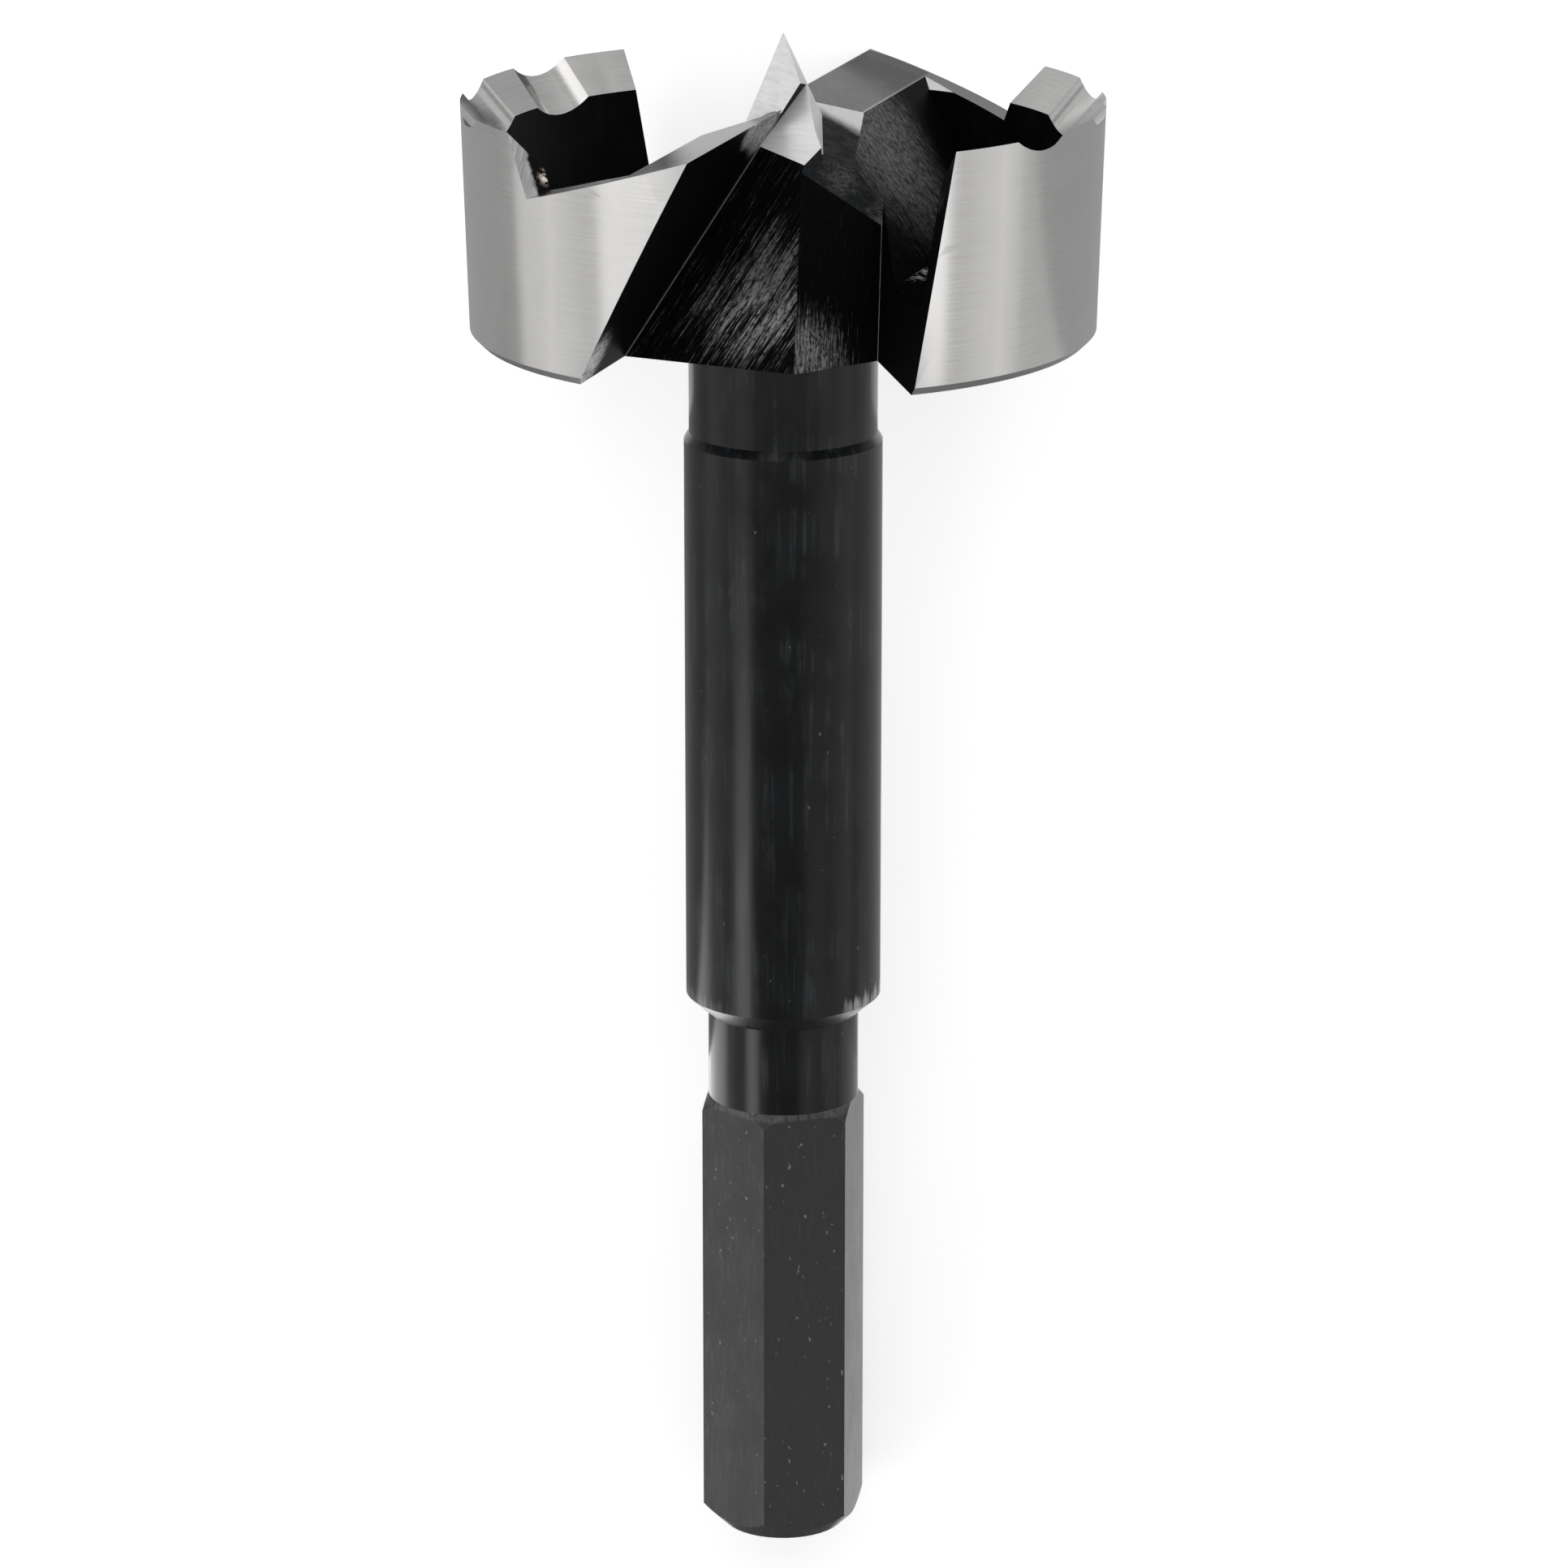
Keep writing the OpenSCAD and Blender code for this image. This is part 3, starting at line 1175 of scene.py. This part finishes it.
    def finishes(self) -> dict[Zone, Finish]:
        """Finishes of all surfaces.

        Returns:
            The finish of each zone.
        """
        s = self.sizes
        return self.milled() | {
            Zone.OUTSIDE: GroundSteel("ground_outside"),
            Zone.RIM: GroundSteel("ground_rim", tone=0.5, spread=0.1),
            Zone.BACK_EDGE: GroundSteel("ground_back_edge", tone=0.2, roughness=0.36),
            Zone.UNDERSIDE: BlackOxide("black_underside", gloss=0.3, roughness=0.42),
            Zone.POCKET_WALL: BlackOxide(
                "black_pocket", tone=0.003, gloss=0.05, roughness=0.5, specks=0.1, scuffs=0.05
            ),
            Zone.POCKET_FLOOR: PittedBlack("pitted_pocket_floor", (8.8, -2.25, 80.6)),
            Zone.LAND: GroundLand("ground_land", s.land_x, s.wall_r, s.head_r),
            Zone.POINT: GroundFacet("ground_point", tone=0.92, metal=0.35),
            Zone.RELIEF: GroundFacet("ground_relief", fade=(-3.3, -1.9)),
            Zone.TOOTH: GroundTooth("ground_tooth", (-9.7, -14.2, 87.4)),
            Zone.SHANK: BlackOxide(
                "black_shank",
                roughness=0.24,
                # The band over the foot chamfer is a painted highlight, full on one flank and weaker
                # on the other.
                highlight_z=(33.6, 35.3),
                highlight_side=(0.95, 0.31, 0.0),
                highlight_tone=0.4,
            ),
            Zone.HEXAGON: BlackOxide(
                "black_hexagon",
                tone=0.003,
                gloss=0.75,
                roughness=0.26,
                grain=(0.2, 0.2, 1.6),
                depth=0.003,
                specks=0.9,
                speck_at=0.71,
                scuffs=0.25,
                # The band at the top of the hexagon is a painted highlight all round.
                highlight_z=(27.7, 29.5),
                highlight_from=-9.0,
                highlight_tone=0.06,
            ),
        }

    def dress(self, piece: bpy.types.Object) -> None:
        """Puts the finish of each zone into its material slot.

        Args:
            piece: The bit.
        """
        finishes = self.finishes()
        for zone in Zone:
            piece.data.materials.append(finishes[zone].material())

    def place(self, piece: bpy.types.Object) -> None:
        """Parents the piece to the root body and hides the imported node that it copies.

        Args:
            piece: The bit.
        """
        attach(piece, "root")
        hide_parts(NODE)


@dataclass(frozen=True)
class Card:
    """A card on the floor that only reflections show: its x and y in metres, and its radiance."""

    name: str
    x: Numbers
    y: Numbers
    glow: float


@dataclass(frozen=True)
class CardRow:
    """Cards along one side of the bit, grey near it and paler beyond its edge.

    Distances from the bit's middle and the steps along y are in metres.
    """

    side: int
    edge: float
    reach: float
    shank_glow: float
    hexagon_glow: float
    near_glow: float = 0.35
    far_glow: float = 0.68
    head_x: float = 0.02
    shank_x: float = 0.0075
    far_x: float = 0.6
    steps_y: Numbers = (-0.25, -0.05, -0.018, 0.0225, 0.12)

    def cards(self) -> list[Card]:
        """Lays out the row from the head to the far end of the hexagon.

        Returns:
            The cards of this side.
        """
        end, foot, waist, neck, front = self.steps_y
        plans = (
            ("head_near", self.head_x, self.edge, (neck, front), self.near_glow),
            ("shank_near", self.shank_x, self.edge, (waist, neck), self.shank_glow),
            ("hexagon", self.shank_x, self.reach, (foot, waist), self.hexagon_glow),
            ("beyond", self.head_x, self.reach, (end, foot), self.hexagon_glow),
            ("middle", self.reach, self.edge, (end, waist), self.near_glow),
            ("far", self.edge, self.far_x, (end, front), self.far_glow),
        )
        return [
            Card(f"{name}_{self.side + 1}", (self.side * near, self.side * far), y, glow)
            for name, near, far, y, glow in plans
        ]


@dataclass(frozen=True)
class Panel:
    """A soft panel of light: its middle, the point that it faces and its size, in metres.

    Its level is its radiance, where 1 shows as white.
    """

    name: str
    at: Numbers
    aim: Numbers
    size: Numbers
    level: float


ROWS = (CardRow(-1, 0.095, 0.094, 0.33, 2.6), CardRow(1, 0.17, 0.05, 0.5, 0.72))
END_CARDS = (
    Card("shank_end", (-0.02, 0.02), (-0.25, -0.05), 0.2),
    Card("tip_dark", (-0.0185, -0.0095), (0.041, 0.0485), 0.12),
    Card("tip_low", (-0.004, 0.015), (0.0405, 0.0475), 0.44),
    Card("tip_left", (-0.02, 0.0), (0.0485, 0.058), 0.58),
    Card("tip_right", (0.0, 0.02), (0.0485, 0.058), 0.78),
    Card("tip_front", (-0.02, 0.02), (0.058, 0.12), 0.85),
)
HEAD_SPOT = (0.0, 0.04, 0.03)
PANELS = (
    Panel("panel_left", (-0.27, -0.242, 0.26), (0.0, -0.242, 0.02), (0.2, 0.13), 3.2),
    Panel("panel_right", (0.25, -0.25, 0.28), (0.0, -0.25, 0.02), (0.2, 0.16), 0.4),
    Panel("panel_tip", (-0.07, 0.18, 0.36), HEAD_SPOT, (0.2, 0.18), 0.7),
    Panel("panel_far", (-0.1, 0.36, 0.08), HEAD_SPOT, (0.3, 0.16), 0.5),
    Panel("panel_wave", (0.17, 0.37, 0.19), HEAD_SPOT, (0.2, 0.16), 1.4),
)


@dataclass(frozen=True)
class Studio:
    """Pale floor, soft panels of light and the camera of the photograph.

    The camera's distance, its aim and the hood are in the bit's own millimetres, the rest of the
    lengths in metres.
    """

    bit: BitFrame
    image_px: float = 1932.0
    focal_px: float = 7880.0
    shift_px: float = 0.9
    sensor_mm: float = 36.0
    clip: Numbers = (0.01, 20.0)
    distance: float = 388.2
    elevation: float = 16.72
    aim_z: float = 47.9
    lip_turn: float = 18.2
    floor_half: float = 4.0
    floor_z: float = -2e-5
    floor_tone: float = 0.9
    floor_glow: float = 0.6
    card_z: float = 4e-4
    sheet_roughness: float = 0.9
    sheet_gloss: float = 0.1
    hood_r: float = 100.0
    hood_w: float = 77.0
    hood_span: Numbers = (57.0, 150.0)
    hood_turn: int = 43
    hood_levels: Numbers = (0.55, 0.75, 0.75)
    room_rise: Numbers = (0.1, 0.75)
    room_tones: Numbers = (0.7, 0.2)

    def camera(self) -> None:
        """Camera at the fitted place: it looks at the axis from above, with the tip upwards."""
        turn, lift = math.radians(self.lip_turn), math.radians(self.elevation)
        near = np.array([math.sin(turn), -math.cos(turn), 0.0])
        right = np.array([math.cos(turn), math.sin(turn), 0.0])
        back = math.cos(lift) * near + math.sin(lift) * UPRIGHT
        up = -math.sin(lift) * near + math.cos(lift) * UPRIGHT
        eye = self.bit.outward((self.distance * back + self.aim_z * UPRIGHT)[None])[0]
        axes = self.bit.direction(np.vstack([right, up, back]))
        data = bpy.data.cameras.new("camera")
        data.sensor_width = self.sensor_mm
        data.lens = data.sensor_width * self.focal_px / self.image_px
        data.shift_x = self.shift_px / self.image_px
        data.clip_start, data.clip_end = self.clip
        camera = bpy.data.objects.new("camera", data)
        matrix = Matrix(axes.T.tolist()).to_4x4()
        matrix.translation = Vector(eye)
        camera.matrix_world = matrix
        bpy.context.scene.collection.objects.link(camera)
        bpy.context.scene.camera = camera

    def sheet(
        self, name: str, x: Numbers, y: Numbers, z: float, tone: float, glow: float = 0.0
    ) -> bpy.types.Object:
        """A flat level rectangle of one plain colour that is no part of the bit.

        Args:
            name: Name of the sheet and its material.
            x: Its two ends along x, in metres.
            y: Its two ends along y.
            z: Its height.
            tone: Its colour, as a grey.
            glow: Radiance that it adds by itself.

        Returns:
            The sheet.
        """
        left, right = sorted(x)
        low, high = sorted(y)
        corners = [(left, low, z), (right, low, z), (right, high, z), (left, high, z)]
        mesh = bpy.data.meshes.new(name)
        mesh.from_pydata(corners, [], [(0, 1, 2, 3)])
        material = bpy.data.materials.new(name)
        material.use_nodes = True
        shader = material.node_tree.nodes["Principled BSDF"]
        shader.inputs["Base Color"].default_value = grey(tone)
        shader.inputs["Roughness"].default_value = self.sheet_roughness
        shader.inputs["Specular IOR Level"].default_value = self.sheet_gloss
        shader.inputs["Emission Color"].default_value = grey(1.0)
        shader.inputs["Emission Strength"].default_value = glow
        mesh.materials.append(material)
        made = bpy.data.objects.new(name, mesh)
        bpy.context.scene.collection.objects.link(made)
        return made

    def floor(self) -> None:
        """Pale floor just under the bit, lifted to white where the camera and metal see it."""
        ends = (-self.floor_half, self.floor_half)
        floor = self.sheet("pale_floor", ends, ends, self.floor_z, self.floor_tone)
        tree = floor.data.materials[0].node_tree
        path = tree.nodes.new("ShaderNodeLightPath")
        level = path.outputs["Is Camera Ray"]
        for name in ("Is Glossy Ray", "Is Transmission Ray"):
            most = tree.nodes.new("ShaderNodeMath")
            most.operation = "MAXIMUM"
            tree.links.new(level, most.inputs[0])
            tree.links.new(path.outputs[name], most.inputs[1])
            level = most.outputs["Value"]
        scale = tree.nodes.new("ShaderNodeMath")
        scale.operation = "MULTIPLY"
        scale.inputs[1].default_value = self.floor_glow
        tree.links.new(level, scale.inputs[0])
        shader = tree.nodes["Principled BSDF"]
        tree.links.new(scale.outputs["Value"], shader.inputs["Emission Strength"])

    def cards(self) -> None:
        """Lays the cards that show as steps of tone on the ground and black surfaces."""
        rows = [card for row in ROWS for card in row.cards()]
        for card in rows + list(END_CARDS):
            sheet = self.sheet(card.name, card.x, card.y, self.card_z, 0.0, card.glow)
            sheet.visible_camera = False
            sheet.visible_diffuse = False
            sheet.visible_shadow = False
            sheet.visible_transmission = False

    def hang(self, panel: Panel) -> None:
        """Makes a panel of light, which the camera doesn't see.

        Args:
            panel: The panel.
        """
        data = bpy.data.lights.new(panel.name, "AREA")
        data.shape = "RECTANGLE"
        data.size, data.size_y = panel.size
        data.energy = panel.level * panel.size[0] * panel.size[1] * math.pi
        lamp = bpy.data.objects.new(panel.name, data)
        lamp.location = panel.at
        away = Vector(panel.at) - Vector(panel.aim)
        lamp.rotation_mode = "QUATERNION"
        lamp.rotation_quaternion = away.to_track_quat("Z", "Y")
        lamp.visible_camera = False
        bpy.context.scene.collection.objects.link(lamp)

    def hood(self) -> None:
        """Three soft panels round the upper side of the head, like a small light tent."""
        top = np.cross(SIDEWAYS, self.bit.axes[:, 2])
        low, high = self.hood_span
        middle = self.bit.outward(np.array([[0.0, 0.0, (low + high) / 2]]))[0]
        width, length = self.hood_w * MM, (high - low) * MM
        for number, level in enumerate(self.hood_levels):
            turn = (number - 1) * self.hood_turn
            a = math.radians(turn)
            at = middle + self.hood_r * MM * (math.sin(a) * SIDEWAYS + math.cos(a) * top)
            size = (length, width) if turn else (width, length)
            name = f"hood_{turn + self.hood_turn}"
            self.hang(Panel(name, tuple(at), tuple(middle), size, level))

    def lights(self) -> None:
        """Panels on both sides of the shank, over the tip and beyond it."""
        for panel in PANELS:
            self.hang(panel)

    def room(self) -> None:
        """A plain room around the bit, light low down and darker overhead."""
        world = bpy.data.worlds.new("room")
        world.use_nodes = True
        tree = world.node_tree
        place = tree.nodes.new("ShaderNodeTexCoord")
        split = tree.nodes.new("ShaderNodeSeparateXYZ")
        tree.links.new(place.outputs["Generated"], split.inputs["Vector"])
        fall = tree.nodes.new("ShaderNodeMapRange")
        names = ("From Min", "From Max", "To Min", "To Max")
        for name, value in zip(names, self.room_rise + self.room_tones):
            fall.inputs[name].default_value = value
        tree.links.new(split.outputs["Z"], fall.inputs["Value"])
        tree.links.new(fall.outputs["Result"], tree.nodes["Background"].inputs["Color"])
        bpy.context.scene.world = world

    def view(self) -> None:
        """Plain display of colours."""
        bpy.context.scene.view_settings.view_transform = "Standard"


def main() -> None:
    """Builds the bit and the studio in order."""
    logging.basicConfig(level=logging.INFO)
    sizes = Sizes()
    bit = BitFrame.from_record(frame["record"], sizes.shank_middle, sizes.rest_roll)
    whole = ForstnerBit(bit, sizes)
    piece = whole.build(frame["nodes"][NODE])
    whole.dress(piece)
    whole.place(piece)
    log.info("bit: %d faces", len(piece.data.polygons))
    studio = Studio(bit)
    studio.floor()
    studio.cards()
    studio.hood()
    studio.lights()
    studio.room()
    studio.camera()
    studio.view()


if __name__ == "__main__":
    main()
